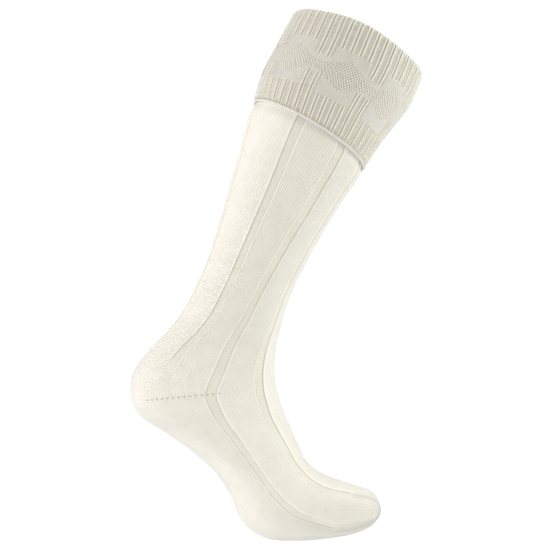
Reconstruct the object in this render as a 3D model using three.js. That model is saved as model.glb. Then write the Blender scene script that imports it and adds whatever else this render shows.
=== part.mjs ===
// A knitted knee-length sock with a turned-over cuff, as it is worn on tiptoe.
// Millimetres; the toes point along +X, the leg rises along +Z, and the origin is in the middle of the mouth.
import * as THREE from "three";

// Sizes of the whole sock
const REACH = 262; // back of the heel to the front of the cuff
const DROP = 440; // widest line of the cuff down to the sole
const BREADTH = 118; // side to side at the calf
const WALL = 2; // cloth of the leg, the heel, the foot and the toe
const SEAM_GAP = 0.3;
const MIN_AREA = 1e-6;

// Sunk ribs between the plain panels of the leg and the instep
const LEG_RIBS = 8;
const LEG_REPEAT = 360 / LEG_RIBS;
const RIB_WIDTH = LEG_REPEAT * 0.27;
const RIB_EDGE = LEG_REPEAT * 0.035;
const RIB_DEPTH = WALL * 0.35;
const RIB_SPAN = 10; // degrees of the oval that a rib takes up
const SIDE_RIB = LEG_REPEAT * 1.5;

// The turned-over cuff and its rolled fold
const CUFF_CLEARANCE = 0.4;
const CUFF_WALL = 1.8;
const CUFF_RIB_HEIGHT = 0.7;
const CUFF_RIBS = 48;
const CUFF_RIB_PITCH = 360 / CUFF_RIBS;
const CUFF_RIB_HALF = CUFF_RIB_PITCH * 0.27;
const RIBS_PER_DIAMOND = 6;
const CUFF_TURN = 6.8; // degrees that the pattern is turned from the front
const CUFF_SLANT = 5.6; // degrees that a rib leans back at the sides from the hem to the fold
const PLAIN_HEIGHT = CUFF_RIB_HEIGHT * 0.5;
const HEM_HEIGHT = 2.4;
const HEM_BULGE = 0.3;
const FOLD_DEPTH = 6;
const FOLD_ARCH = 3.1; // how far the fold rises at the sides

// The leg swells out below the cuff; these are the stations after the hem where it is full and where it ends
const CALF_SWELL = 2.3;
const SWELL_FULL = 0.2;
const SWELL_END = 1.3;

// The heel starts this share open at its front corners
const HEEL_CORNER = 0.08;

// Sections from the mouth to the tip of the toe. The back and front points are shares of REACH and DROP,
// wide is a share of BREADTH, oval the exponent of the section's oval, and ribs the angles from the front
// of the three ribs on each side.
const SECTIONS = {
  fold: { back: [-0.195, 0.074], front: [0.234, -0.054], wide: 0.496, oval: 2.05, ribs: [20, 53, 98] },
  cuffTop: { back: [-0.252, 0.01], front: [0.183, -0.119], wide: 0.5, oval: 2.05, ribs: [20, 53, 98] },
  cuffLow: { back: [-0.308, -0.056], front: [0.1, -0.183], wide: 0.492, oval: 2.05, ribs: [20, 53, 98] },
  hem: { back: [-0.337, -0.117], front: [0.027, -0.2485], wide: 0.468, oval: 2.05, ribs: [20, 54, 98] },
  calf: { back: [-0.389, -0.21], front: [-0.032, -0.31], wide: 0.424, oval: 2.05, ribs: [21, 54, 99] },
  calfEnd: { back: [-0.43, -0.295], front: [-0.097, -0.374], wide: 0.381, oval: 2.05, ribs: [23, 56, 100] },
  shin: { back: [-0.482, -0.406], front: [-0.175, -0.457], wide: 0.339, oval: 2.05, ribs: [26, 62, 104] },
  shinEnd: { back: [-0.534, -0.488], front: [-0.226, -0.526], wide: 0.314, oval: 2.1, ribs: [30, 68, 106] },
  ankle: { back: [-0.59, -0.551], front: [-0.253, -0.581], wide: 0.301, oval: 2.15, ribs: [34, 72, 108] },
  tendon: { back: [-0.64, -0.589], front: [-0.264, -0.609], wide: 0.297, oval: 2.2, ribs: [37, 74, 110] },
  heelTop: { back: [-0.696, -0.624], front: [-0.269, -0.629], wide: 0.292, oval: 2.3, ribs: [39, 74, 113] },
  heelBack: { back: [-0.751, -0.675], front: [-0.272, -0.668], wide: 0.288, oval: 2.35, ribs: [41, 76, 117] },
  gore: { back: [-0.7495, -0.73], front: [-0.262, -0.706], wide: 0.283, oval: 2.4, ribs: [44, 84, 121] },
  heelUnder: { back: [-0.713, -0.76], front: [-0.246, -0.737], wide: 0.281, oval: 2.35, ribs: [45, 86, 123] },
  heelEnd: { back: [-0.653, -0.782], front: [-0.232, -0.759], wide: 0.288, oval: 2.3, ribs: [47, 90, 126] },
  arch: { back: [-0.559, -0.821], front: [-0.213, -0.785], wide: 0.314, oval: 2.25, ribs: [48, 94, 128] },
  instep: { back: [-0.474, -0.864], front: [-0.191, -0.814], wide: 0.347, oval: 2.2, ribs: [48, 98, 131] },
  instepEnd: { back: [-0.419, -0.912], front: [-0.165, -0.845], wide: 0.377, oval: 2.2, ribs: [47, 96, 130] },
  ball: { back: [-0.379, -0.963], front: [-0.12, -0.866], wide: 0.403, oval: 2.2, ribs: [49, 94, 129] },
  ballEnd: { back: [-0.304, -0.995], front: [-0.076, -0.878], wide: 0.407, oval: 2.2, ribs: [51, 98, 131] },
  toeBend: { back: [-0.202, -1.001], front: [-0.035, -0.886], wide: 0.39, oval: 2.25, ribs: [52, 106, 136] },
  toeSeam: { back: [-0.092, -0.996], front: [0, -0.893], wide: 0.352, oval: 2.3, ribs: [52, 119, 144] },
  toes: { back: [-0.014, -0.988], front: [0.035, -0.899], wide: 0.288, oval: 2.3, ribs: [52, 121, 146] },
  toeEnds: { back: [0.044, -0.974], front: [0.065, -0.912], wide: 0.208, oval: 2.3, ribs: [52, 122, 147] },
  tipRing: { back: [0.073, -0.957], front: [0.08, -0.93], wide: 0.097, oval: 2.2, ribs: [52, 122, 147] },
  tip: { back: [0.083, -0.944], front: [0.083, -0.944], wide: 0, oval: 2, ribs: [52, 122, 147] },
};
const ROWS = Object.values(SECTIONS);
const LAST = ROWS.length - 1;
const stationOf = (name) => Object.keys(SECTIONS).indexOf(name);
const HEM = stationOf("hem");
const HEEL_TOP = stationOf("heelTop");
const GORE = stationOf("gore");
const HEEL_END = stationOf("heelEnd");
const TOE_SEAM = stationOf("toeSeam");

// The back and front lines, the form of the ovals between them and the ribs; the mouth's middle is the origin
const placed = ([x, z]) => new THREE.Vector3(x * REACH, 0, z * DROP);
const mouth = placed(SECTIONS.fold.back).add(placed(SECTIONS.fold.front)).multiplyScalar(0.5);
const backLine = new THREE.CatmullRomCurve3(ROWS.map((row) => placed(row.back).sub(mouth)));
const frontLine = new THREE.CatmullRomCurve3(ROWS.map((row) => placed(row.front).sub(mouth)));
const evenCurve = (points) => new THREE.CatmullRomCurve3(points, false, "catmullrom");
const form = evenCurve(ROWS.map(({ wide, oval }) => new THREE.Vector3(wide * BREADTH, oval, 0)));
const ribLines = evenCurve(ROWS.map(({ ribs }) => new THREE.Vector3(...ribs)));
const mouthLine = placed(SECTIONS.fold.front).sub(placed(SECTIONS.fold.back));
const mouthUp = new THREE.Vector3(-mouthLine.z, 0, mouthLine.x).normalize();

// Angle round the oval of a wale, in radians from the front, where the ribs of its side sit at ribAngles
function angleOf(wale, ribAngles) {
  const stops = [{ at: 0, angle: 0 }];
  ribAngles.forEach((angle, index) => {
    const middle = LEG_REPEAT * (index + 0.5);
    stops.push({ at: middle - RIB_WIDTH / 2, angle: angle - RIB_SPAN / 2 });
    stops.push({ at: middle + RIB_WIDTH / 2, angle: angle + RIB_SPAN / 2 });
  });
  stops.push({ at: 180, angle: 180 });
  let degrees = 0;
  for (let k = 1; k < stops.length; k += 1) {
    const share = (Math.abs(wale) - stops[k - 1].at) / (stops[k].at - stops[k - 1].at);
    degrees += (stops[k].angle - stops[k - 1].angle) * THREE.MathUtils.clamp(share, 0, 1);
  }
  return THREE.MathUtils.degToRad(Math.sign(wale) * degrees);
}

// Point of the outer face at a station and an angle
function facePoint(station, angleAt) {
  const share = station / LAST;
  const back = backLine.getPoint(share);
  const front = frontLine.getPoint(share);
  const { x: breadth, y: oval } = form.getPoint(share);
  const angle = angleAt(ribLines.getPoint(share).toArray());
  const cos = Math.cos(angle);
  const sin = Math.sin(angle);
  const swell = (Math.abs(cos) ** oval + Math.abs(sin) ** oval) ** (-1 / oval);
  const point = back.clone().add(front).multiplyScalar(0.5);
  point.addScaledVector(front.sub(back), 0.5 * cos * swell);
  point.y = breadth * sin * swell;
  return point.addScaledVector(mouthUp, FOLD_ARCH * sin ** 8 * Math.max(1 - station, 0) ** 2);
}

const alongWale = (wale) => (ribAngles) => angleOf(wale, ribAngles);
const alongAngle = (degrees) => () => THREE.MathUtils.degToRad(degrees);

// Millimetres the face runs along a wale for one station
function reachOf(station, angleAt) {
  const step = 0.02;
  const from = Math.max(station - step, 0);
  const to = Math.min(station + step, LAST);
  return facePoint(from, angleAt).distanceTo(facePoint(to, angleAt)) / (to - from);
}

// Point that lies offset millimetres outside the face
function point(station, line, degrees, offset) {
  const step = 0.02;
  if (station >= LAST) {
    return facePoint(LAST, line(degrees)).add(new THREE.Vector3(offset, 0, 0));
  }
  const from = Math.max(station - step, 0);
  const to = Math.min(station + step, LAST - step);
  const down = facePoint(to, line(degrees)).sub(facePoint(from, line(degrees)));
  const around = facePoint(station, line(degrees + 0.5)).sub(facePoint(station, line(degrees - 0.5)));
  const outward = down.cross(around).normalize();
  return facePoint(station, line(degrees)).addScaledVector(outward, offset);
}

// Closed solid between profiles that follow one another round the sock
function solidOf(profiles, closed) {
  const corners = [];
  const addQuad = (a, b, c, d) => {
    for (const [p, q, r] of [[a, b, c], [a, c, d]]) {
      if (new THREE.Triangle(p, q, r).getArea() > MIN_AREA) corners.push(p, q, r);
    }
  };
  const count = profiles[0].length;
  profiles.forEach((profile, index) => {
    if (!closed && index === profiles.length - 1) return;
    const next = profiles[(index + 1) % profiles.length];
    for (let k = 0; k < count; k += 1) {
      const m = (k + 1) % count;
      addQuad(profile[k], profile[m], next[m], next[k]);
    }
  });
  if (!closed) {
    const first = profiles[0];
    const last = profiles[profiles.length - 1];
    for (let k = 0; k < count / 2 - 1; k += 1) {
      addQuad(first[k], first[count - 1 - k], first[count - 2 - k], first[k + 1]);
      addQuad(last[k], last[k + 1], last[count - 2 - k], last[count - 1 - k]);
    }
  }
  return new THREE.BufferGeometry().setFromPoints(corners);
}

// Wales where the faces change slope: the edges of each rib and two more in each plain panel
const ribShares = [-RIB_WIDTH / 2, -RIB_WIDTH / 2 + RIB_EDGE, RIB_WIDTH / 2 - RIB_EDGE, RIB_WIDTH / 2];
const panelWidth = LEG_REPEAT - RIB_WIDTH;
const repeatShares = [...ribShares, RIB_WIDTH / 2 + panelWidth / 3, RIB_WIDTH / 2 + (panelWidth * 2) / 3];
const WALES = [];
for (let rib = 0; rib < LEG_RIBS; rib += 1) {
  const middle = -180 + LEG_REPEAT * (rib + 0.5);
  WALES.push(...repeatShares.map((share) => middle + share).map((wale) => (wale > 180 ? wale - 360 : wale)));
}
const HEEL_EDGE = SIDE_RIB + RIB_WIDTH / 2;

// Depth of the rib at a wale, with the last rib that is sunk given
function ribSink(wale, lastRib) {
  const inRepeat = Math.abs(Math.abs(wale) % LEG_REPEAT - LEG_REPEAT / 2);
  const inside = inRepeat < RIB_WIDTH / 2 - RIB_EDGE / 2;
  return inside && Math.abs(wale) < lastRib + LEG_REPEAT / 2 ? RIB_DEPTH : 0;
}

// Share of the heel's full height that it has reached at a wale
function heelShare(wale) {
  const share = (Math.abs(wale) - HEEL_EDGE) / (180 - HEEL_EDGE);
  return share < -1e-9 ? 0 : HEEL_CORNER + (1 - HEEL_CORNER) * Math.sin((Math.max(share, 0) * Math.PI) / 2);
}
const heelUpper = (wale) => GORE - (GORE - HEEL_TOP) * heelShare(wale);
const heelLower = (wale) => GORE + (HEEL_END - GORE) * heelShare(wale);
const gapAt = (station, wale) => SEAM_GAP / 2 / reachOf(station, alongWale(wale));

// How far the cloth stands out from the face below the cuff
function calfSwell(station) {
  const { smoothstep } = THREE.MathUtils;
  const after = station - HEM;
  return CALF_SWELL * smoothstep(after, 0, SWELL_FULL) * (1 - smoothstep(after, SWELL_FULL, SWELL_END));
}

// Profile of a cloth wall with the stations where it is cut outside and inside
function wallProfile(wale, outside, inside, sink) {
  return [
    ...outside.map((station) => point(station, alongWale, wale, calfSwell(station) - sink)),
    ...inside.toReversed().map((station) => point(station, alongWale, wale, calfSwell(station) - WALL)),
  ];
}

const atShares = (from, to, shares) => shares.map((share) => THREE.MathUtils.lerp(from, to, share));
const evenStations = (from, to, count) =>
  Array.from({ length: count }, (_, index) => THREE.MathUtils.lerp(from, to, index / (count - 1)));

// Leg, from under the fold to the ankle in front and the top of the heel behind
const foldStation = (depth, angleAt) => depth / reachOf(0, angleAt);
const COVERED_ROWS = 4;
const legStations = (top, bottom, bareRows) => [
  ...evenStations(top, HEM, COVERED_ROWS),
  ...evenStations(HEM + SWELL_FULL, bottom, bareRows),
];
const legSolid = solidOf(
  WALES.map((wale) => {
    const top = foldStation(FOLD_DEPTH + SEAM_GAP, alongWale(wale));
    const bottom = heelUpper(wale) - gapAt(heelUpper(wale), wale);
    return wallProfile(wale, legStations(top, bottom, 10), legStations(top, bottom, 8), ribSink(wale, 180));
  }),
  true,
);

// Heel, a pocket that widens from the two front corners to the back
const heelWales = WALES.map((wale) => (wale < 0 ? wale + 360 : wale))
  .filter((wale) => wale >= HEEL_EDGE - 1e-9 && wale <= 360 - HEEL_EDGE + 1e-9)
  .sort((a, b) => a - b);
const heelSolid = solidOf(
  heelWales.map((turn, index) => {
    const wale = turn > 180 ? turn - 360 : turn;
    const side = Math.sign(wale);
    const atEnd = index === 0 || index === heelWales.length - 1;
    const inset = wale + side * (atEnd ? RIB_EDGE : 0);
    const top = heelUpper(wale) + gapAt(heelUpper(wale), wale);
    const bottom = heelLower(wale) - gapAt(heelLower(wale), wale);
    return wallProfile(inset, evenStations(top, bottom, 6), evenStations(top, bottom, 6), 0);
  }),
  false,
);

// Foot, from the ankle in front and the end of the heel behind to the toe seam
const footSolid = solidOf(
  WALES.map((wale) => {
    const top = heelLower(wale) + gapAt(heelLower(wale), wale);
    const bottom = TOE_SEAM - gapAt(TOE_SEAM, wale);
    const sink = ribSink(wale, SIDE_RIB);
    return wallProfile(wale, evenStations(top, bottom, 11), evenStations(top, bottom, 9), sink);
  }),
  true,
);

// Toe, a closed cap whose inside ends one wall short of the tip
const TOE_OUTSIDE = [0, 0.25, 0.5, 0.7, 0.86, 1];
const TOE_INSIDE = [0, 0.3, 0.6, 0.85, 1];
const toeSolid = solidOf(
  WALES.map((wale) => {
    const top = TOE_SEAM + gapAt(TOE_SEAM, wale);
    return wallProfile(wale, atShares(top, LAST, TOE_OUTSIDE), atShares(top, LAST, TOE_INSIDE), 0);
  }),
  true,
);

// Rows of the cuff up from the hem: a share of its height and how full the short and the long ribs stand
const CUFF_ROWS = [
  { share: 0.05, shortRib: 1, longRib: 1, valley: 0 },
  { share: 0.26, shortRib: 1, longRib: 1, valley: 0 },
  { share: 0.29, shortRib: 0.5, longRib: 1, valley: 1 },
  { share: 0.43, shortRib: 0.5, longRib: 1, valley: 1 },
  { share: 0.6, shortRib: 0.5, longRib: 1, valley: 1 },
  { share: 0.7, shortRib: 0.5, longRib: 1, valley: 1 },
  { share: 0.73, shortRib: 1, longRib: 1, valley: 0 },
  { share: 0.93, shortRib: 1, longRib: 1, valley: 0 },
];
// Rows of the rolled fold: a share of FOLD_DEPTH below the top and the place across it, -1 in to +1 out
const FOLD_ROWS = [
  { depth: 0.25, across: 0.82 },
  { depth: 0, across: 0.2 },
  { depth: 0.07, across: -0.45 },
  { depth: 0.35, across: -1 },
  { depth: 1, across: -1 },
];
const CUFF_LINING_SHARES = [0.18, 0.36, 0.54, 0.72];

const CUFF_ANGLES = [];
for (let rib = 0; rib < CUFF_RIBS; rib += 1) {
  const crest = -180 + CUFF_TURN + CUFF_RIB_PITCH * (rib + 0.5);
  const inRepeat = (rib + RIBS_PER_DIAMOND / 2) % RIBS_PER_DIAMOND;
  const isLong = inRepeat === 0 || inRepeat === RIBS_PER_DIAMOND - 1;
  CUFF_ANGLES.push({ degrees: crest - CUFF_RIB_HALF, isCrest: false, isLong });
  CUFF_ANGLES.push({ degrees: crest, isCrest: true, isLong });
  CUFF_ANGLES.push({ degrees: crest + CUFF_RIB_HALF, isCrest: false, isLong });
}

// Height that the cuff's pattern stands above its valleys
function cuffRelief(row, isCrest, isLong) {
  if (isCrest) return CUFF_RIB_HEIGHT * (isLong ? row.longRib : row.shortRib);
  return isLong ? 0 : PLAIN_HEIGHT * row.valley;
}

const cuffSolid = solidOf(
  CUFF_ANGLES.map(({ degrees, isCrest, isLong }) => {
    const outside = CUFF_CLEARANCE + CUFF_WALL;
    const angleAt = alongAngle(degrees);
    const lean = CUFF_SLANT * Math.sin(THREE.MathUtils.degToRad(degrees));
    const leaning = (station) => degrees + lean * (0.5 - station / HEM);
    const place = (station, offset) => point(station, alongAngle, leaning(station), offset);
    const hemStation = (height) => HEM - height / reachOf(HEM, angleAt);
    const foldBottom = foldStation(FOLD_DEPTH, angleAt);
    const foldMiddle = (outside - WALL) / 2;
    const foldHalf = (outside + WALL) / 2;
    return [
      place(hemStation(HEM_HEIGHT * 0.3), CUFF_CLEARANCE),
      place(HEM, CUFF_CLEARANCE + CUFF_WALL / 2),
      place(hemStation(HEM_HEIGHT * 0.4), outside + CUFF_RIB_HEIGHT + HEM_BULGE),
      place(hemStation(HEM_HEIGHT), outside + cuffRelief(CUFF_ROWS[0], isCrest, isLong)),
      ...CUFF_ROWS.slice(1).map((row) =>
        place(HEM * (1 - row.share), outside + cuffRelief(row, isCrest, isLong)),
      ),
      ...FOLD_ROWS.map(({ depth, across }) =>
        place(foldStation(FOLD_DEPTH * depth, angleAt), foldMiddle + foldHalf * across),
      ),
      place(foldBottom, CUFF_CLEARANCE),
      ...CUFF_LINING_SHARES.map((share) =>
        place(THREE.MathUtils.lerp(foldBottom, HEM, share), CUFF_CLEARANCE),
      ),
    ].toReversed();
  }),
  true,
);

// The named pieces of the sock
const WOOL = { color: 0xe9e4d6, roughness: 0.92, metalness: 0 };
const sock = new THREE.Group();
sock.name = "kilt_hose";
const solids = {
  turnover_cuff: cuffSolid,
  leg: legSolid,
  heel: heelSolid,
  foot: footSolid,
  toe: toeSolid,
};
for (const [name, solid] of Object.entries(solids)) {
  solid.computeVertexNormals();
  const mesh = new THREE.Mesh(solid, new THREE.MeshStandardMaterial(WOOL));
  mesh.name = name;
  sock.add(mesh);
}

export default sock;
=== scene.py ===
"""Dresses a knitted knee-length sock: its turned-over cuff, leg, heel, foot and toe in cream wool."""
import math
from collections import namedtuple

import bmesh
import bpy
import numpy as np
from bpy.props import FloatProperty, FloatVectorProperty, IntProperty, PointerProperty
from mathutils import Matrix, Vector


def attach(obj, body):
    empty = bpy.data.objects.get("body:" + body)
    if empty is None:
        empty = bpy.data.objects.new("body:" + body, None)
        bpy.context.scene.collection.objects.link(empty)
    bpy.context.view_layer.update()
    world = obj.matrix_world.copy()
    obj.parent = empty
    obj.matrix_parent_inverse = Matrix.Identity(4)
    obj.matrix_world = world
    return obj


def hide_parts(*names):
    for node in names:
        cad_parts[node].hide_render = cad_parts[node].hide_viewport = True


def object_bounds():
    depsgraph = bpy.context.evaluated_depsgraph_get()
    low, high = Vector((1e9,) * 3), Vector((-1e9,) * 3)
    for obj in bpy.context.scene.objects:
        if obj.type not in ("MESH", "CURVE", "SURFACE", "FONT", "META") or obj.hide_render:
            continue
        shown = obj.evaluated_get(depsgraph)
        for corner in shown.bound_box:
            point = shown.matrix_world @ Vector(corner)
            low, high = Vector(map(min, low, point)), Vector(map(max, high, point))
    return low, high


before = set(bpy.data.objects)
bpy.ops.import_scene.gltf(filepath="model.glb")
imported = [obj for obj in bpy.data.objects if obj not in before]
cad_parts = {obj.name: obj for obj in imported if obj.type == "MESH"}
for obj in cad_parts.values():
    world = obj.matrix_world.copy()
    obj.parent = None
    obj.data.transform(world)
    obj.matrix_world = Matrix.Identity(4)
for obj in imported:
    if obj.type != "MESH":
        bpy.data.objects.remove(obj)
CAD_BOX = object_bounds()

bl_info = {
    "name": "Kilt Hose Sock",
    "version": (1, 0, 0),
    "blender": (4, 5, 0),
    "location": "3D View > Sidebar > Sock",
    "description": "Builds a knitted knee-length sock with a turned-over cuff",
    "category": "Add Mesh",
}

# Sections from the mouth to the tip of the toe, in shares of the reach, the drop and the breadth.
# oval is the exponent of the section's oval, and the ribs are the angles of each side's three ribs.
Section = namedtuple("Section", "back_x back_z front_x front_z wide oval front_rib side_rib back_rib")
SECTIONS = {
    "fold": Section(-0.195, 0.074, 0.234, -0.054, 0.496, 2.05, 20, 53, 98),
    "cuff top": Section(-0.252, 0.01, 0.183, -0.119, 0.5, 2.05, 20, 53, 98),
    "cuff low": Section(-0.308, -0.056, 0.1, -0.183, 0.492, 2.05, 20, 53, 98),
    "hem": Section(-0.337, -0.117, 0.027, -0.2485, 0.468, 2.05, 20, 54, 98),
    "calf": Section(-0.389, -0.21, -0.032, -0.31, 0.424, 2.05, 21, 54, 99),
    "calf end": Section(-0.43, -0.295, -0.097, -0.374, 0.381, 2.05, 23, 56, 100),
    "shin": Section(-0.482, -0.406, -0.175, -0.457, 0.339, 2.05, 26, 62, 104),
    "shin end": Section(-0.534, -0.488, -0.226, -0.526, 0.314, 2.1, 30, 68, 106),
    "ankle": Section(-0.59, -0.551, -0.253, -0.581, 0.301, 2.15, 34, 72, 108),
    "tendon": Section(-0.64, -0.589, -0.264, -0.609, 0.297, 2.2, 37, 74, 110),
    "heel top": Section(-0.696, -0.624, -0.269, -0.629, 0.292, 2.3, 39, 74, 113),
    "heel back": Section(-0.751, -0.675, -0.272, -0.668, 0.288, 2.35, 41, 76, 117),
    "gore": Section(-0.7495, -0.73, -0.262, -0.706, 0.283, 2.4, 44, 84, 121),
    "heel under": Section(-0.713, -0.76, -0.246, -0.737, 0.281, 2.35, 45, 86, 123),
    "heel end": Section(-0.653, -0.782, -0.232, -0.759, 0.288, 2.3, 47, 90, 126),
    "arch": Section(-0.559, -0.821, -0.213, -0.785, 0.314, 2.25, 48, 94, 128),
    "instep": Section(-0.474, -0.864, -0.191, -0.814, 0.347, 2.2, 48, 98, 131),
    "instep end": Section(-0.419, -0.912, -0.165, -0.845, 0.377, 2.2, 47, 96, 130),
    "ball": Section(-0.379, -0.963, -0.12, -0.866, 0.403, 2.2, 49, 94, 129),
    "ball end": Section(-0.304, -0.995, -0.076, -0.878, 0.407, 2.2, 51, 98, 131),
    "toe bend": Section(-0.202, -1.001, -0.035, -0.886, 0.39, 2.25, 52, 106, 136),
    "toe seam": Section(-0.092, -0.996, 0, -0.893, 0.352, 2.3, 52, 119, 144),
    "toes": Section(-0.014, -0.988, 0.035, -0.899, 0.288, 2.3, 52, 121, 146),
    "toe ends": Section(0.044, -0.974, 0.065, -0.912, 0.208, 2.3, 52, 122, 147),
    "tip ring": Section(0.073, -0.957, 0.08, -0.93, 0.097, 2.2, 52, 122, 147),
    "tip": Section(0.083, -0.944, 0.083, -0.944, 0, 2, 52, 122, 147),
}
LAST = len(SECTIONS) - 1
STATION = {name: index for index, name in enumerate(SECTIONS)}
RIB_SHARE = 0.27  # of a repeat of rib and panel
RIB_SPAN = 10  # degrees of the oval
HEEL_CORNER = 1.5 + RIB_SHARE / 2  # repeats from the front
HEEL_OPENING = 0.08  # share of its full height that the heel has at its front corners
SWELL_FULL, SWELL_END = 0.2, 1.3  # stations after the hem where the calf's swell is full and where it ends
CALF_RADIUS = 0.055  # metres, to count the stitches round the leg
HEEL_STATION, TOE_STATION = 0.024, 0.022  # metres that a station takes up at the heel and at the toe
TOE_SIDE = 92  # wale of the line along each side of the toe
TOE_WALE = 0.0006  # metres that a degree takes up at the toe
TOE_EYELETS = 0.0038  # metres between two eyelets of the toe
FAR = 9.0  # millimetres, outside every dotted line

# Pattern of the cuff.
CUFF_RADIUS = 0.064  # metres, to measure round the cuff
RIB_WALES = 6  # stitches to each rib of the cuff and its valley
RIBS_PER_DIAMOND = 6
PATTERN_ROWS = 126
PATTERN_LOW, PATTERN_HIGH = 0.034, 0.94  # shares of the cuff's height from the welt to the fold
LONG_FIELD, SHORT_FIELD = (0.44, 0.6), (0.275, 0.72)  # shares where the smooth fields between the ribs lie
FIELD_EDGE = 0.007  # share over which a field passes into its ribs
DIAMOND_MIDDLE = 0.505  # share of the cuff's height
DIAMOND_WAIST, DIAMOND_RISE, DIAMOND_HALF, DIAMOND_EDGE = 0.0042, 0.0098, 0.02, 0.0006  # metres
SEED_WIDTH, SEED_HEIGHT = 1.0, 0.8  # seeds to each stitch
SHAPED_LINE, DRAWN_LINE = 0.62, 0.58  # stitches that half of a raised line takes up, in the mesh and the bump
PLAIN_HEIGHT, WELT_HEIGHT = 0.5, 0.7  # shares of a rib's height
FOLD_ROUND = 0.62  # share of the fold's depth that is rounded
HEM_SHADE, WELT_LIGHT, PLAIN_LIGHT = 0.3, 1.1, 0.12  # painted shade on the welt's top and just above it, painted highlight over the welt, painted light on the smooth fields

# Heights in metres.
LEG_WAVER, FOOT_WAVER, PLY_HEIGHT = 0.00012, 0.0001, 0.00015
HEEL_WELT, HEEL_WELT_ASIDE, HEEL_WELT_HALF = 0.0003, 0.0016, 0.0009
TOE_LINE, TOE_LINE_HALF = 0.0003, 0.001

# Depth of the stitches in metres, how dark the painted shade in their hollows is and the sheen, for each
# material slot.
KNIT = {
    "cuff_wool": (0.0007, 1.2, 1.0),
    "leg_wool": (0.0004, 0.65, 0.55),
    "foot_wool": (0.0004, 0.65, 0.55),
}

# What the camera and the lights aim at, and the place, aim, size, power and colour of each light.
MIDDLE = (-0.0759, 0, -0.2113)
FOOT = (-0.08, 0, -0.35)
Softbox = namedtuple("Softbox", "place aim size power colour")
SOFTBOXES = {
    "left softbox": Softbox((-1.2, -0.15, 0.1), FOOT, 1.2, 15.8, (1, 0.97, 0.99)),
    "right softbox": Softbox((1.1, 0, 0.3), MIDDLE, 1.2, 12.2, (0.98, 1, 0.97)),
    "top softbox": Softbox((0.6, -0.2, 0.9), FOOT, 1, 7, (1, 1, 1)),
    "low softbox": Softbox((-0.05, -0.55, -0.47), FOOT, 0.5, 1.25, (1, 1, 1)),
}
FLOOR_HALF, FLOOR_DROP = 8, 0.8
LENS, SENSOR = 95.3, 36
CAMERA_ELEVATION, CAMERA_DISTANCE = -8, 1.3


class SockSizes(bpy.types.PropertyGroup):
    """Sizes of the worn sock"""

    reach: FloatProperty(
        name="Reach", description="Back of the heel to the front of the cuff", default=0.262, unit="LENGTH"
    )
    drop: FloatProperty(
        name="Drop", description="Widest line of the cuff to the sole", default=0.44, unit="LENGTH"
    )
    breadth: FloatProperty(
        name="Breadth", description="Side to side at the calf", default=0.118, unit="LENGTH"
    )
    wall: FloatProperty(
        name="Wall", description="Cloth of the leg and the foot", default=0.002, unit="LENGTH"
    )
    rib_depth: FloatProperty(
        name="Rib depth", description="How far the leg's ribs are sunk", default=0.0005, unit="LENGTH"
    )
    rib_edge: FloatProperty(
        name="Rib edge", description="Height of the stitches along each rib", default=0.0004, unit="LENGTH"
    )
    wale: FloatProperty(
        name="Stitch width", description="Width of one stitch", default=0.00205, unit="LENGTH"
    )
    course: FloatProperty(
        name="Stitch height", description="Height of one stitch", default=0.0015, unit="LENGTH"
    )
    eyelet_pitch: FloatProperty(
        name="Eyelet pitch", description="Degrees of the sock between two eyelets", default=5.35
    )
    leg_ribs: IntProperty(name="Leg ribs", description="Sunk ribs round the leg", default=8, min=4)
    cuff_course: FloatProperty(
        name="Cuff stitch height",
        description="Height of one stitch of the cuff",
        default=0.00138,
        unit="LENGTH",
    )
    cuff_clearance: FloatProperty(
        name="Cuff clearance", description="Room between the leg and the cuff", default=0.0004, unit="LENGTH"
    )
    cuff_wall: FloatProperty(name="Cuff wall", description="Cloth of the cuff", default=0.0018, unit="LENGTH")
    cuff_ribs: IntProperty(name="Cuff ribs", description="Ribs round the cuff", default=48, min=12)
    cuff_rib_height: FloatProperty(
        name="Cuff rib height", description="How far the cuff's ribs stand up", default=0.0009, unit="LENGTH"
    )
    cuff_turn: FloatProperty(
        name="Cuff turn", description="Degrees that the pattern is turned from the front", default=6.8
    )
    cuff_slant: FloatProperty(
        name="Cuff slant", description="Degrees that the ribs lean back at the sides", default=5.6
    )
    hem_height: FloatProperty(
        name="Hem height", description="Height of the welt at the cuff's edge", default=0.0024, unit="LENGTH"
    )
    fold_depth: FloatProperty(
        name="Fold depth", description="Height of the rolled fold", default=0.006, unit="LENGTH"
    )
    fold_arch: FloatProperty(
        name="Fold arch", description="How far the fold rises at the sides", default=0.0031, unit="LENGTH"
    )
    calf_swell: FloatProperty(
        name="Calf swell", description="How far the leg swells below the cuff", default=0.0023, unit="LENGTH"
    )


class SockColours(bpy.types.PropertyGroup):
    """Colours of the wool, and of the painted shade in its hollows"""

    light: FloatVectorProperty(
        name="Light wool", description="Tops of the stitches", subtype="COLOR", default=(0.86, 0.845, 0.79)
    )
    # painted shade: the colour that hollows, creases, eyelets and the other painted shade are mixed towards
    shade: FloatVectorProperty(
        name="Shaded wool",
        description="Hollows between the stitches",
        subtype="COLOR",
        default=(0.49, 0.46, 0.34),
    )


def spline(values, stations, even):
    """Smooth curve through one row of values for each station, read at many stations."""
    padded = np.vstack([2 * values[0] - values[1], values, 2 * values[-1] - values[-2]])
    low = np.clip(np.floor(stations).astype(int), 0, LAST - 1)
    share = (stations - low)[..., None]
    a, b, c, d = (padded[low + shift] for shift in range(4))
    if even:
        into, out = 0.5 * (c - a), 0.5 * (d - b)
    else:
        gaps = [np.linalg.norm(q - p, axis=-1, keepdims=True) for p, q in ((a, b), (b, c), (c, d))]
        ab, bc, cd = (np.maximum(np.sqrt(gap), 1e-6) for gap in gaps)
        into = ((b - a) / ab - (c - a) / (ab + bc) + (c - b) / bc) * bc
        out = ((c - b) / bc - (d - b) / (bc + cd) + (d - c) / cd) * bc
    return (
        b
        + into * share
        + (3 * (c - b) - 2 * into - out) * share**2
        + (2 * (b - c) + into + out) * share**3
    )


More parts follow.
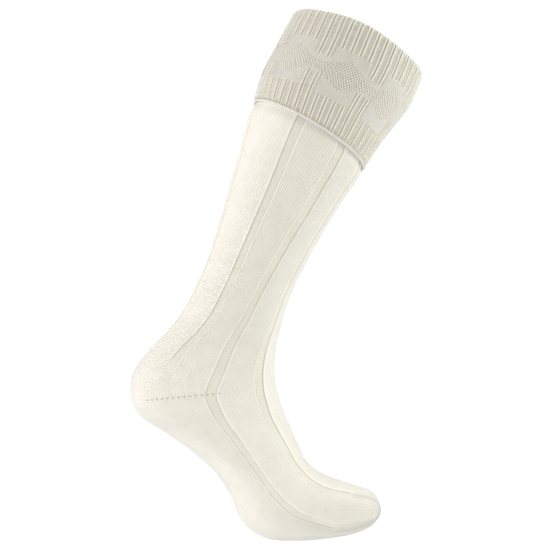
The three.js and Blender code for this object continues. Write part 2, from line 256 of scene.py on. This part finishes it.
class Skin:
    """The sock's outer face, which the solids follow too."""

    def __init__(self, sizes):
        rows = list(SECTIONS.values())
        self.back = np.array([(row.back_x * sizes.reach, row.back_z * sizes.drop) for row in rows])
        self.front = np.array([(row.front_x * sizes.reach, row.front_z * sizes.drop) for row in rows])
        self.mouth = 0.5 * (self.back[0] + self.front[0])
        self.back, self.front = self.back - self.mouth, self.front - self.mouth
        self.form = np.array([(row.wide * sizes.breadth, row.oval) for row in rows])
        self.ribs = np.array([(row.front_rib, row.side_rib, row.back_rib) for row in rows])
        self.repeat = 360 / sizes.leg_ribs
        self.arch = sizes.fold_arch
        across = self.front[0] - self.back[0]
        self.up = np.array([-across[1], 0, across[0]]) / np.linalg.norm(across)
        stations = np.linspace(0, LAST, 40 * LAST + 1)
        middle = 0.5 * (spline(self.back, stations, False) + spline(self.front, stations, False))
        steps = np.linalg.norm(np.diff(middle, axis=0), axis=1)
        self.run_stations, self.run = stations, np.concatenate([[0], np.cumsum(steps)])

    def length_to(self, stations):
        """Length of the sock's middle line down to each station."""
        return np.interp(stations, self.run_stations, self.run)

    def turn(self, wales, ribs):
        """Angle round the oval of each wale, where the ribs of its side sit at the angles given."""
        wales = (wales + 180) % 360 - 180
        start = np.zeros_like(ribs[..., 0])
        stops = [(0, start)]
        for index in range(3):
            middle = self.repeat * (index + 0.5)
            for side in (-1, 1):
                at = middle + side * self.repeat * RIB_SHARE / 2
                stops.append((at, ribs[..., index] + side * RIB_SPAN / 2))
        stops.append((180, start + 180))
        angle = start
        for (low, low_angle), (high, high_angle) in zip(stops, stops[1:]):
            share = np.clip((np.abs(wales) - low) / (high - low), 0, 1)
            angle = angle + (high_angle - low_angle) * share
        return np.sign(wales) * angle

    def face(self, stations, wales, by_angle):
        """Points of the outer face."""
        stations = np.clip(stations, 0, LAST)
        back, front = spline(self.back, stations, False), spline(self.front, stations, False)
        form = spline(self.form, stations, True)
        angle = np.radians(wales if by_angle else self.turn(wales, spline(self.ribs, stations, True)))
        cos, sin = np.cos(angle), np.sin(angle)
        swell = (np.abs(cos) ** form[..., 1] + np.abs(sin) ** form[..., 1]) ** (-1 / form[..., 1])
        middle, half = 0.5 * (back + front), 0.5 * (front - back)
        flat = middle + half * (cos * swell)[..., None]
        rise = self.arch * sin**8 * np.clip(1 - stations, 0, 1) ** 2
        points = np.stack([flat[..., 0], form[..., 0] * sin * swell, flat[..., 1]], axis=-1)
        return points + rise[..., None] * self.up

    def reach(self, stations, wales, by_angle=False):
        """Metres that the face runs along a wale for one station."""
        step = 0.02
        low, high = np.clip(stations - step, 0, LAST), np.clip(stations + step, 0, LAST)
        gap = self.face(high, wales, by_angle) - self.face(low, wales, by_angle)
        return np.linalg.norm(gap, axis=-1) / (high - low)

    def points(self, stations, wales, offsets, by_angle=False):
        """Points that lie the offsets outside the face."""
        step = 0.02
        low = np.clip(stations - step, 0, LAST - step)
        high = np.clip(stations + step, step, LAST - step)
        down = self.face(high, wales, by_angle) - self.face(low, wales, by_angle)
        at = np.minimum(stations, LAST - step)
        around = self.face(at, wales + 0.5, by_angle) - self.face(at, wales - 0.5, by_angle)
        outward = np.cross(down, around)
        outward /= np.linalg.norm(outward, axis=-1, keepdims=True)
        outward[stations >= LAST] = (1, 0, 0)
        return self.face(stations, wales, by_angle) + outward * offsets[..., None]


def smooth(low, high, values):
    """Smooth step from 0 to 1 between two limits."""
    share = np.clip((values - low) / (high - low), 0, 1)
    return share * share * (3 - 2 * share)


def ridge(distance, half):
    """Rounded ridge of height 1 at distance 0."""
    return np.clip(1 - (distance / half) ** 2, 0, 1) ** 0.75


def knit_piece(name, nodes, points, layers, masks, material, capped=False):
    """Shapes a grid into a closed knitted wall: columns run round the sock and rows along its cut profile."""
    rows, columns = points.shape[:2]
    bm = bmesh.new()
    bmesh.ops.create_grid(bm, x_segments=columns - 1, y_segments=rows - 1, size=1)
    mesh = bpy.data.meshes.new(name)
    bm.to_mesh(mesh)
    bm.free()
    place = np.empty(len(mesh.vertices) * 3)
    mesh.vertices.foreach_get("co", place)
    place = place.reshape(-1, 3)
    column = np.rint((place[:, 0] + 1) / 2 * (columns - 1)).astype(int)
    row = np.rint((place[:, 1] + 1) / 2 * (rows - 1)).astype(int)
    mesh.vertices.foreach_set("co", points[row, column].ravel())
    corners = np.empty(len(mesh.loops), dtype=int)
    mesh.loops.foreach_get("vertex_index", corners)
    for layer_name, values in layers.items():
        layer = mesh.uv_layers.new(name=layer_name)
        layer.data.foreach_set("uv", values[row, column][corners].ravel())
    colour = mesh.attributes.new("stitch", "FLOAT_COLOR", "POINT")
    colour.data.foreach_set("color", masks[row, column].ravel())
    bm = bmesh.new()
    bm.from_mesh(mesh)
    bmesh.ops.remove_doubles(bm, verts=bm.verts, dist=0.00001)
    bmesh.ops.delete(bm, geom=[edge for edge in bm.edges if not edge.link_faces], context="EDGES")
    if capped:
        bmesh.ops.holes_fill(bm, edges=[edge for edge in bm.edges if edge.is_boundary], sides=0)
    bmesh.ops.recalc_face_normals(bm, faces=bm.faces)
    for face in bm.faces:
        face.smooth = True
    bm.to_mesh(mesh)
    bm.free()
    mesh.set_sharp_from_angle(angle=math.radians(75))
    mesh.materials.append(material)
    piece = bpy.data.objects.new(name, mesh)
    bpy.context.scene.collection.objects.link(piece)
    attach(piece, "root")
    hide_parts(*nodes)
    return piece


def masks_of(purl, painted_light_and_shade, seed, ribbed):
    """Point colour that carries the masks of the stitches; its green carries painted shade, and painted
    highlight where it is below 0.
    """
    return np.stack(np.broadcast_arrays(purl, painted_light_and_shade, seed, ribbed), axis=-1).astype(float)


def knit_layers(sizes, skin, stations, wales, seam):
    """Texture layers of a plain piece: counts of wales and courses, and the dots along its dotted line."""
    around = sizes.leg_ribs * round(2 * math.pi * CALF_RADIUS / sizes.wale / sizes.leg_ribs)
    counts = np.stack([wales / 360 * around, skin.length_to(stations) / sizes.course], axis=-1)
    return {"knit": counts, "seam": np.stack(seam(skin, stations, wales), axis=-1)}


def wall_piece(sizes, piece, wales, span, rows, relief, seam, capped=False):
    """Knitted wall between two stations that vary with the wale, with its outer face shaped by the relief."""
    name, node, slot = piece
    skin = Skin(sizes)
    down, up = np.linspace(0, 1, rows[0]), np.linspace(1, 0, rows[1])
    shares = np.concatenate([down, up, [0]])[:, None]
    is_outside = np.concatenate([np.ones(rows[0]), np.zeros(rows[1]), [1]])[:, None]
    top, bottom = span
    stations, wales = np.broadcast_arrays(top + (bottom - top) * shares, wales)
    height, masks = relief(skin, stations, wales)
    after = stations - STATION["hem"]
    swell = sizes.calf_swell * smooth(0, SWELL_FULL, after) * smooth(SWELL_END, SWELL_FULL, after)
    points = skin.points(stations, wales, swell + np.where(is_outside > 0, height, -sizes.wall))
    layers = knit_layers(sizes, skin, stations, wales, seam)
    return knit_piece(name, (node,), points, layers, masks, wool_of(slot), capped)


def waver(stations, wales):
    """Slow unevenness of worn cloth, from -1 to 1."""
    return (
        np.sin(stations * 2.3 + np.radians(wales) * 3)
        + np.sin(stations * 5.1 - np.radians(wales) * 5 + 1.3)
        + np.sin(stations * 9.7 + np.radians(wales) * 9 + 0.6)
    ) / 3


def rib_relief(sizes, last_rib, end):
    """Sunk ribs with raised stitches along each edge, as far round as the last rib and down to an end."""
    repeat = 360 / sizes.leg_ribs
    half = repeat * RIB_SHARE / 2

    def relief(skin, stations, wales):
        distance = np.abs(np.abs(wales) % repeat - repeat / 2)
        present = smooth(last_rib + repeat * 0.5, last_rib + repeat * 0.45, np.abs(wales))
        heel = np.where(np.abs(wales) > repeat * 2, heel_edges(sizes, wales)[0], LAST)
        present = present * smooth(end, end - 0.25, stations) * smooth(heel, heel - 0.5, stations)
        sunk = smooth(half, half * 0.74, distance) * present
        edge = ridge(distance - half * 1.05, half * 0.13) * present
        crease_shade = ridge(distance - half * 0.84, half * 0.13) * present
        height = edge * sizes.rib_edge - sunk * sizes.rib_depth + LEG_WAVER * waver(stations, wales)
        # Green mask: painted shade in the crease inside each rib edge and faintly over the sunk rib, and a
        # painted highlight along the raised edge.
        return height, masks_of(sunk, 0.4 * crease_shade + 0.05 * sunk - 0.5 * edge, 0, 0)

    return relief


def gore_seam(sizes):
    """Dots across the side ribs and along the middle of the heel."""
    corner = 360 / sizes.leg_ribs * HEEL_CORNER
    first, last = corner - 3.2 * sizes.eyelet_pitch, corner + 11.2 * sizes.eyelet_pitch
    gore = STATION["gore"]

    def seam(skin, stations, wales):
        counts = (np.abs(wales) - corner) / sizes.eyelet_pitch
        aside = (stations - gore) * skin.reach(np.full_like(stations, gore), wales) * 1000
        inside = (np.abs(wales) > first) & (np.abs(wales) < last)
        return counts, np.where(inside, aside, FAR)

    return seam


def heel_edges(sizes, wales):
    """Stations of the heel's upper and lower edges at each wale; they meet at the gore in front."""
    corner = 360 / sizes.leg_ribs * HEEL_CORNER
    share = np.clip((np.abs(wales) - corner) / (180 - corner), 0, 1)
    widened = HEEL_OPENING + (1 - HEEL_OPENING) * np.sin(share * math.pi / 2)
    opened = np.where(np.abs(wales) < corner - 1e-6, 0, widened)
    gore = STATION["gore"]
    return gore - (gore - STATION["heel top"]) * opened, gore + (STATION["heel end"] - gore) * opened


def wale_columns(sizes, each_repeat):
    """Wales round the whole sock, with columns on the heel's corners."""
    corner = 360 / sizes.leg_ribs * HEEL_CORNER
    wales = np.linspace(-180, 180, each_repeat * sizes.leg_ribs + 1)
    for side in (-1, 1):
        wales[np.argmin(np.abs(wales - side * corner))] = side * corner
    return wales


def node_group(name, inputs, outputs):
    """Shader node group with float or vector sockets, ready for its nodes."""
    group = bpy.data.node_groups.new(name, "ShaderNodeTree")
    for socket, kind in inputs:
        group.interface.new_socket(name=socket, in_out="INPUT", socket_type=kind)
    for socket, kind in outputs:
        group.interface.new_socket(name=socket, in_out="OUTPUT", socket_type=kind)
    return group, group.nodes.new("NodeGroupInput"), group.nodes.new("NodeGroupOutput")


class Nodes:
    """Short hand for the nodes of one tree."""

    def __init__(self, tree):
        self.tree = tree

    def link(self, value, socket):
        if isinstance(value, bpy.types.NodeSocket):
            self.tree.links.new(value, socket)
        else:
            socket.default_value = value

    def math(self, operation, *values, clamp=False):
        node = self.tree.nodes.new("ShaderNodeMath")
        node.operation = operation
        node.use_clamp = clamp
        for value, socket in zip(values, node.inputs):
            self.link(value, socket)
        return node.outputs[0]

    def mix(self, factor, first, second):
        node = self.tree.nodes.new("ShaderNodeMix")
        self.link(factor, node.inputs["Factor"])
        self.link(first, node.inputs["A"])
        self.link(second, node.inputs["B"])
        return node.outputs[0]

    def mix_colour(self, factor, first, second):
        node = self.tree.nodes.new("ShaderNodeMix")
        node.data_type = "RGBA"
        self.link(factor, node.inputs[0])
        self.link(first, node.inputs[6])
        self.link(second, node.inputs[7])
        return node.outputs[2]

    def noise(self, vector, scale, detail):
        node = self.tree.nodes.new("ShaderNodeTexNoise")
        self.link(vector, node.inputs["Vector"])
        node.inputs["Scale"].default_value = scale
        node.inputs["Detail"].default_value = detail
        return node.outputs["Fac"]

    def group(self, group, **values):
        node = self.tree.nodes.new("ShaderNodeGroup")
        node.node_tree = group
        for name, value in values.items():
            self.link(value, node.inputs[name])
        return node


def knit_group():
    """Height of plain, purl, ribbed and seed stitches from counts of wales and courses."""
    floats = ("Wales", "Courses", "Purl", "Seed", "Ribbed", "Stray")
    group, given, result = node_group(
        "knit stitches", [(name, "NodeSocketFloat") for name in floats], [("Height", "NodeSocketFloat")]
    )
    nodes = Nodes(group)
    wales, courses, purl, seed, ribbed, stray = (given.outputs[name] for name in floats)
    across = nodes.math("ABSOLUTE", nodes.math("SUBTRACT", nodes.math("FRACT", wales), 0.5))
    dome = nodes.math("COSINE", nodes.math("MULTIPLY", across, math.pi))
    split = nodes.math("SINE", nodes.math("MULTIPLY", across, 2 * math.pi))
    arc = nodes.mix(0.3, dome, split)
    slant = nodes.math("ADD", courses, nodes.math("MULTIPLY", across, -1.3))
    turn = nodes.math("SINE", nodes.math("MULTIPLY", slant, 2 * math.pi))
    plain = nodes.math("MULTIPLY", arc, nodes.math("MULTIPLY_ADD", turn, 0.25, 0.75))
    row = nodes.math("SINE", nodes.math("MULTIPLY", courses, 2 * math.pi))
    loop = nodes.math("COSINE", nodes.math("MULTIPLY", wales, 2 * math.pi))
    rows = nodes.math("MULTIPLY_ADD", row, 0.22, 0.42)
    purled = nodes.math("ADD", rows, nodes.math("MULTIPLY", loop, 0.12))
    in_rib = nodes.math("FRACT", nodes.math("MULTIPLY", wales, 1 / RIB_WALES))
    in_rib = nodes.math("MULTIPLY", in_rib, RIB_WALES)
    aside = nodes.math("ABSOLUTE", nodes.math("SUBTRACT", in_rib, RIB_WALES / 2))
    away = nodes.math("MULTIPLY", nodes.math("SUBTRACT", aside, 1), 1 / DRAWN_LINE)
    line = nodes.math("SUBTRACT", 1, nodes.math("MULTIPLY", away, away), clamp=True)
    open_valley = nodes.math("SUBTRACT", aside, 0.35, clamp=True)
    floor = nodes.math("MULTIPLY", nodes.math("MULTIPLY", purled, 0.8), open_valley)
    rib = nodes.mix(line, floor, nodes.math("MULTIPLY_ADD", turn, 0.06, 1.05))
    aslant = nodes.math("MULTIPLY_ADD", stray, 10, -5)
    astray = nodes.math("MULTIPLY", aslant, -0.7)
    beside = nodes.math("SINE", nodes.math("MULTIPLY_ADD", wales, math.pi * SEED_WIDTH, aslant))
    above = nodes.math("SINE", nodes.math("MULTIPLY_ADD", courses, math.pi * SEED_HEIGHT, astray))
    seeds = nodes.math("MULTIPLY_ADD", nodes.math("MULTIPLY", beside, above), 1.6, 0.45, clamp=True)
    height = nodes.mix(seed, nodes.mix(ribbed, nodes.mix(purl, plain, purled), rib), seeds)
    group.links.new(height, result.inputs["Height"])
    return group


def eyelet_group():
    """Mask of the small holes along a dotted line, from the count along it and the millimetres aside."""
    group, given, result = node_group(
        "eyelets", [("Count", "NodeSocketFloat"), ("Aside", "NodeSocketFloat")], [("Hole", "NodeSocketFloat")]
    )
    nodes = Nodes(group)
    along = nodes.math("SUBTRACT", nodes.math("FRACT", given.outputs["Count"]), 0.5)
    along = nodes.math("MULTIPLY", along, 1 / 0.24)
    aside = given.outputs["Aside"]
    far = nodes.math("ADD", nodes.math("MULTIPLY", along, along), nodes.math("MULTIPLY", aside, aside))
    hole = nodes.math("SUBTRACT", 1, far, clamp=True)
    group.links.new(hole, result.inputs["Hole"])
    return group


def fuzz_group():
    """Loose fibres over the stitches, and slow patches of tone."""
    group, given, result = node_group(
        "wool fuzz",
        [("Place", "NodeSocketVector")],
        [("Fibres", "NodeSocketFloat"), ("Tone", "NodeSocketFloat")],
    )
    nodes = Nodes(group)
    fine = nodes.noise(given.outputs["Place"], 750, 3)
    coarse = nodes.noise(given.outputs["Place"], 90, 4)
    group.links.new(fine, result.inputs["Fibres"])
    group.links.new(coarse, result.inputs["Tone"])
    return group


GROUPS = {"knit stitches": knit_group, "eyelets": eyelet_group, "wool fuzz": fuzz_group}


def split_layer(tree, name):
    """The two values of a piece's own texture layer."""
    uv = tree.nodes.new("ShaderNodeUVMap")
    uv.uv_map = name
    split = tree.nodes.new("ShaderNodeSeparateXYZ")
    tree.links.new(uv.outputs["UV"], split.inputs[0])
    return split.outputs[0], split.outputs[1]


def wool(name, colours, depth, contrast, sheen):
    """Cream knitted wool, with the depth of its stitches, how dark the painted shade in their hollows is and
    its sheen.
    """
    material = bpy.data.materials.new(name)
    material.use_nodes = True
    tree = material.node_tree
    nodes = Nodes(tree)
    shader = tree.nodes["Principled BSDF"]
    shader.inputs["Sheen Weight"].default_value = sheen
    shader.inputs["Sheen Roughness"].default_value = 0.45
    shader.inputs["Specular IOR Level"].default_value = 0.2
    wales, courses = split_layer(tree, "knit")
    count, aside = split_layer(tree, "seam")
    masks = tree.nodes.new("ShaderNodeAttribute")
    masks.attribute_name = "stitch"
    mask = tree.nodes.new("ShaderNodeSeparateColor")
    tree.links.new(masks.outputs["Color"], mask.inputs[0])
    place = tree.nodes.new("ShaderNodeTexCoord")
    groups = {title: bpy.data.node_groups.get(title) or make() for title, make in GROUPS.items()}
    fuzz = nodes.group(groups["wool fuzz"], Place=place.outputs["Object"])
    fibres, tone = fuzz.outputs["Fibres"], fuzz.outputs["Tone"]
    height = nodes.group(
        groups["knit stitches"],
        Wales=wales,
        Courses=courses,
        Purl=mask.outputs[0],
        Seed=mask.outputs[2],
        Ribbed=masks.outputs["Alpha"],
        Stray=tone,
    ).outputs["Height"]
    hole = nodes.group(groups["eyelets"], Count=count, Aside=aside).outputs["Hole"]
    # Painted shade: the wool is painted darker where the stitches are low, as far as the contrast says, and
    # by the painted shade and highlight in the mask's green; the slow tone and the fibres are the wool's own
    # unevenness.
    gap = nodes.math("SUBTRACT", 0.85, height)
    grain = 0.8 * contrast**2 / 1.5
    dark = nodes.math("ADD", nodes.math("MULTIPLY", gap, contrast), mask.outputs[1])
    dark = nodes.math("ADD", dark, nodes.math("MULTIPLY_ADD", tone, 0.24, -0.12))
    dark = nodes.math("ADD", dark, nodes.math("MULTIPLY_ADD", fibres, grain, -grain / 2))
    # Painted shade in the eyelet holes.
    dark = nodes.math("MULTIPLY_ADD", hole, 0.9, dark, clamp=True)
    base = nodes.mix_colour(dark, (*colours.light, 1), (*colours.shade, 1))
    tree.links.new(base, shader.inputs["Base Color"])
    rough = nodes.math("MULTIPLY_ADD", fibres, 0.14, 0.83)
    tree.links.new(rough, shader.inputs["Roughness"])
    relief = nodes.math("MULTIPLY_ADD", fibres, 0.15, nodes.math("MULTIPLY_ADD", hole, -1.2, height))
    bump = tree.nodes.new("ShaderNodeBump")
    bump.inputs["Strength"].default_value = 0.85
    bump.inputs["Distance"].default_value = depth
    tree.links.new(relief, bump.inputs["Height"])
    tree.links.new(bump.outputs["Normal"], shader.inputs["Normal"])
    return material


def wool_of(slot):
    """The wool of a material slot, made once."""
    name = slot.replace("_", " ")
    if name not in bpy.data.materials:
        wool(name, bpy.context.scene.sock_colours, *KNIT[slot])
    return bpy.data.materials[name]


class SOCK_OT_cuff(bpy.types.Operator):
    """Knit the turned-over cuff with its welt, ribs, diamonds and rolled fold"""

    bl_idname = "sock.cuff"
    bl_label = "Turnover cuff"

    def pattern(self, sizes, around, shares, height):
        """Relief of ribs, smooth fields and seed diamonds, from 0 to 1, and the masks of its stitches."""
        pitch = 360 / sizes.cuff_ribs
        repeat = pitch * RIBS_PER_DIAMOND
        metres = CUFF_RADIUS * math.pi / 180
        aside = (around + repeat / 2) % repeat - repeat / 2
        rib = (np.floor(aside / pitch) + 0.5) * pitch
        across = (aside - rib) * metres
        is_long = np.abs(rib) > repeat / 3
        low, high = (np.where(is_long, long, short) for long, short in zip(LONG_FIELD, SHORT_FIELD))
        plain = smooth(low - FIELD_EDGE, low + FIELD_EDGE, shares)
        plain = plain * smooth(high + FIELD_EDGE, high - FIELD_EDGE, shares)
        stitch = pitch / RIB_WALES * metres
        half = stitch * SHAPED_LINE
        lines = np.maximum(ridge(across - stitch, half), ridge(across + stitch, half))
        up = (shares - DIAMOND_MIDDLE) * height
        reach = DIAMOND_WAIST + DIAMOND_RISE * np.clip(1 - np.abs(aside) * metres / DIAMOND_HALF, 0, 1)
        seed = smooth(reach + DIAMOND_EDGE, reach - DIAMOND_EDGE, np.abs(up))
        ribbed = (1 - plain) * (1 - seed)
        relief = ribbed * lines + PLAIN_HEIGHT * (1 - ribbed)
        return relief, ribbed, seed, plain * (1 - seed)

    def execute(self, context):
        sizes = context.scene.sock_sizes
        skin = Skin(sizes)
        around = np.linspace(-180, 180, sizes.cuff_ribs * 12 + 1)[None, :]
        angles = around + sizes.cuff_turn
        hem = float(STATION["hem"])
        inside, outside = sizes.cuff_clearance, sizes.cuff_clearance + sizes.cuff_wall
        full = np.ones_like(around)
        hem_step = 1 / skin.reach(hem * full, angles, True)
        fold_step = 1 / skin.reach(0 * full, angles, True)
        plies = np.sin(np.radians(around) * sizes.cuff_ribs * RIB_WALES / 2)
        crest = outside + sizes.cuff_rib_height * WELT_HEIGHT
        rows = []

        def add(station, offset, patterned, shaded=0.0):
            rows.append((station * full, offset * full, patterned, shaded))

        add(hem - sizes.hem_height * 0.5 * hem_step, inside, 0)
        for turn in np.linspace(-80, 90, 8):
            swing = math.radians(turn)
            below = sizes.hem_height / 2 * (1 + math.sin(swing))
            bulge = inside + (crest - inside) * math.cos(swing) if turn < 0 else crest
            sink = (crest - outside) * (1 - math.cos(swing)) if turn > 0 else 0
            # Painted highlight over the welt, and painted shade along its top where the cuff begins.
            shaded = HEM_SHADE - WELT_LIGHT * (turn < 70)
            add(hem - below * hem_step, bulge - sink + PLY_HEIGHT * plies, 0, shaded)
        for share in np.linspace(PATTERN_LOW, PATTERN_HIGH, PATTERN_ROWS):
            clear = np.clip((share - PATTERN_LOW) / 0.03, 0, 1)
            # Painted shade just above the welt, fading out over the first rows of the pattern.
            add(hem * (1 - share), outside, 0.5 + 0.5 * clear, HEM_SHADE * (1 - clear))
        middle, half = (outside - sizes.wall) / 2, (outside + sizes.wall) / 2
        for turn in np.linspace(0, 180, 13):
            swing = math.radians(turn)
            depth = sizes.fold_depth * FOLD_ROUND * (1 - math.sin(swing))
            add(depth * fold_step, middle + half * math.cos(swing), 1 - turn / 180)
        add(sizes.fold_depth * fold_step, -sizes.wall, 0)
        add(sizes.fold_depth * fold_step, inside, 0)
        for share in np.linspace(0.85, 0.1, 6):
            add(hem * (1 - share), inside, 0)
        rows.append(rows[0])
        stations, offsets = (np.vstack([row[index] for row in rows]) for index in (0, 1))
        patterned, shaded = (np.array([row[index] for row in rows])[:, None] for index in (2, 3))
        shares = np.clip(1 - stations / hem, 0, 1)
        height = skin.length_to(hem) - skin.length_to(0)
        relief, ribbed, seed, plain = self.pattern(sizes, around + 0 * stations, shares, height)
        lean = sizes.cuff_slant * np.sin(np.radians(angles)) * (shares - 0.5)
        relief = relief * patterned * sizes.cuff_rib_height
        points = skin.points(stations, angles + lean, offsets + relief, by_angle=True)
        courses = skin.length_to(stations) / sizes.cuff_course
        knit = np.stack([around / 360 * sizes.cuff_ribs * RIB_WALES + 0 * stations, courses], axis=-1)
        layers = {"knit": knit, "seam": np.full_like(knit, FAR)}
        ribbed = ribbed * np.minimum(patterned * 2, 1)
        # Green: painted shade and highlight of the welt, and painted light over the smooth fields, which sit
        # lower than the ribs.
        masks = masks_of(0, shaded - PLAIN_LIGHT * plain, seed * patterned, ribbed)
        material = wool_of("cuff_wool")
        knit_piece("cuff_knit", ("turnover_cuff",), points, layers, masks, material)
        return {"FINISHED"}


class SOCK_OT_leg(bpy.types.Operator):
    """Knit the leg with its sunk ribs"""

    bl_idname = "sock.leg"
    bl_label = "Leg"

    def execute(self, context):
        sizes = context.scene.sock_sizes
        wales = wale_columns(sizes, 60)
        skin = Skin(sizes)
        top = (sizes.fold_depth + 0.0003) / skin.reach(np.zeros_like(wales), wales)
        span = top, heel_edges(sizes, wales)[0]
        relief = rib_relief(sizes, 180, LAST)
        piece = ("leg_knit", "leg", "leg_wool")
        wall_piece(sizes, piece, wales, span, (120, 40), relief, gore_seam(sizes))
        return {"FINISHED"}


class SOCK_OT_heel(bpy.types.Operator):
    """Knit the plain heel with the row of eyelets along its middle"""

    bl_idname = "sock.heel"
    bl_label = "Heel"

    def execute(self, context):
        sizes = context.scene.sock_sizes
        corner = 360 / sizes.leg_ribs * HEEL_CORNER
        columns = wale_columns(sizes, 60)
        start = columns[columns < corner - 0.01].max()
        turns = np.concatenate([[start], np.linspace(corner, 360 - corner, 241), [360 - start]])
        wales = np.where(turns > 180, turns - 360, turns)
        gore = STATION["gore"]

        def relief(skin, stations, wales):
            fading = smooth(130, 118, np.abs(wales))
            welt = ridge(np.abs(stations - gore) * HEEL_STATION - HEEL_WELT_ASIDE, HEEL_WELT_HALF) * fading
            height = HEEL_WELT * welt + FOOT_WAVER * waver(stations, wales)
            return height, masks_of(0 * stations, 0, 0, 0)

        piece, span = ("heel_knit", "heel", "foot_wool"), heel_edges(sizes, wales)
        wall_piece(sizes, piece, wales, span, (110, 30), relief, gore_seam(sizes), capped=True)
        return {"FINISHED"}


class SOCK_OT_foot(bpy.types.Operator):
    """Knit the foot with ribs on the instep and a plain sole"""

    bl_idname = "sock.foot"
    bl_label = "Foot"

    def execute(self, context):
        sizes = context.scene.sock_sizes
        wales = wale_columns(sizes, 60)
        top, bottom = heel_edges(sizes, wales)[1], float(STATION["toe seam"])
        relief = rib_relief(sizes, 360 / sizes.leg_ribs * 1.5, bottom)
        piece = ("foot_knit", "foot", "foot_wool")
        wall_piece(sizes, piece, wales, (top, bottom), (110, 40), relief, gore_seam(sizes))
        return {"FINISHED"}


class SOCK_OT_toe(bpy.types.Operator):
    """Knit the plain toe cap with a few eyelets along each side"""

    bl_idname = "sock.toe"
    bl_label = "Toe"

    def execute(self, context):
        sizes = context.scene.sock_sizes
        wales = wale_columns(sizes, 45)
        start = STATION["toe seam"]

        def relief(skin, stations, wales):
            calm = smooth(LAST, LAST - 0.5, stations)
            line = ridge((np.abs(wales) - TOE_SIDE) * TOE_WALE, TOE_LINE_HALF)
            line = line * smooth(start, start + 0.3, stations) * calm
            height = FOOT_WAVER * waver(stations, wales) * calm - TOE_LINE * line
            # Painted shade in the sunk line along each side of the toe.
            return height, masks_of(0 * stations, 0.25 * line, 0, 0)

        def seam(skin, stations, wales):
            counts = (stations - start) * TOE_STATION / TOE_EYELETS
            aside = (np.abs(wales) - TOE_SIDE) * TOE_WALE * 1000
            return counts, np.where((counts > -0.5) & (counts < 4), aside, FAR)

        piece = ("toe_knit", "toe", "foot_wool")
        wall_piece(sizes, piece, wales, (start, LAST), (70, 24), relief, seam)
        return {"FINISHED"}


class SOCK_OT_studio(bpy.types.Operator):
    """Set the pale floor, the soft lights and the camera"""

    bl_idname = "sock.studio"
    bl_label = "Studio"

    def light(self, name, softbox):
        lamp = bpy.data.lights.new(name, "AREA")
        lamp.size = softbox.size
        lamp.energy = softbox.power
        lamp.color = softbox.colour
        holder = bpy.data.objects.new(name, lamp)
        holder.location = softbox.place
        aim = Vector(softbox.aim) - Vector(softbox.place)
        holder.rotation_euler = aim.to_track_quat("-Z", "Y").to_euler()
        bpy.context.scene.collection.objects.link(holder)

    def floor(self, scene):
        bm = bmesh.new()
        bmesh.ops.create_grid(bm, x_segments=1, y_segments=1, size=FLOOR_HALF)
        bmesh.ops.translate(bm, verts=bm.verts, vec=(0, 0, CAD_BOX[0][2] - FLOOR_DROP))
        mesh = bpy.data.meshes.new("studio_floor")
        bm.to_mesh(mesh)
        bm.free()
        paper = bpy.data.materials.new("pale paper")
        paper.use_nodes = True
        shader = paper.node_tree.nodes["Principled BSDF"]
        shader.inputs["Base Color"].default_value = (0.9, 0.9, 0.9, 1)
        shader.inputs["Roughness"].default_value = 0.9
        shader.inputs["Emission Color"].default_value = (1, 1, 1, 1)
        glow = Nodes(paper.node_tree)
        seen = paper.node_tree.nodes.new("ShaderNodeLightPath").outputs["Is Camera Ray"]
        glow.link(glow.mix(seen, 0.25, 1.0), shader.inputs["Emission Strength"])
        mesh.materials.append(paper)
        floor = bpy.data.objects.new("studio_floor", mesh)
        scene.collection.objects.link(floor)

    def world(self, scene):
        world = bpy.data.worlds.new("white studio")
        world.use_nodes = True
        tree = world.node_tree
        background = tree.nodes["Background"]
        path = tree.nodes.new("ShaderNodeLightPath")
        sky = Nodes(tree)
        sky.link(sky.mix(path.outputs["Is Camera Ray"], 0.345, 1.05), background.inputs["Strength"])
        tint = sky.mix_colour(path.outputs["Is Camera Ray"], (1, 0.975, 0.89, 1), (1, 1, 1, 1))
        sky.link(tint, background.inputs["Color"])
        scene.world = world

    def camera(self, scene):
        lens = bpy.data.cameras.new("camera")
        lens.lens = LENS
        lens.sensor_width = SENSOR
        camera = bpy.data.objects.new("camera", lens)
        elevation = math.radians(CAMERA_ELEVATION)
        away = Vector((0, -math.cos(elevation), math.sin(elevation))) * CAMERA_DISTANCE
        camera.location = Vector(MIDDLE) + away
        camera.rotation_euler = (-away).to_track_quat("-Z", "Y").to_euler()
        scene.collection.objects.link(camera)
        scene.camera = camera

    def execute(self, context):
        self.floor(context.scene)
        self.world(context.scene)
        context.scene.view_settings.view_transform = "Standard"
        for name, softbox in SOFTBOXES.items():
            self.light(name, softbox)
        self.camera(context.scene)
        return {"FINISHED"}


class SOCK_PT_sidebar(bpy.types.Panel):
    """Sizes, colours and pieces of the sock"""

    bl_label = "Sock"
    bl_idname = "SOCK_PT_sidebar"
    bl_space_type = "VIEW_3D"
    bl_region_type = "UI"
    bl_category = "Sock"

    def draw(self, context):
        column = self.layout.column()
        for group in (context.scene.sock_sizes, context.scene.sock_colours):
            for name in group.__annotations__:
                column.prop(group, name)
        for operator in OPERATORS:
            column.operator(operator.bl_idname)


OPERATORS = (SOCK_OT_studio, SOCK_OT_cuff, SOCK_OT_leg, SOCK_OT_heel, SOCK_OT_foot, SOCK_OT_toe)
CLASSES = (SockSizes, SockColours, *OPERATORS, SOCK_PT_sidebar)


def register():
    """Register the classes and hang the settings on the scene."""
    for cls in CLASSES:
        bpy.utils.register_class(cls)
    bpy.types.Scene.sock_sizes = PointerProperty(type=SockSizes)
    bpy.types.Scene.sock_colours = PointerProperty(type=SockColours)


def unregister():
    """Take the settings and the classes away again."""
    del bpy.types.Scene.sock_colours
    del bpy.types.Scene.sock_sizes
    for cls in reversed(CLASSES):
        bpy.utils.unregister_class(cls)


def main():
    """Build the sock and its studio."""
    register()
    for operator in OPERATORS:
        group, name = operator.bl_idname.split(".")
        getattr(getattr(bpy.ops, group), name)()


if __name__ == "__main__":
    main()
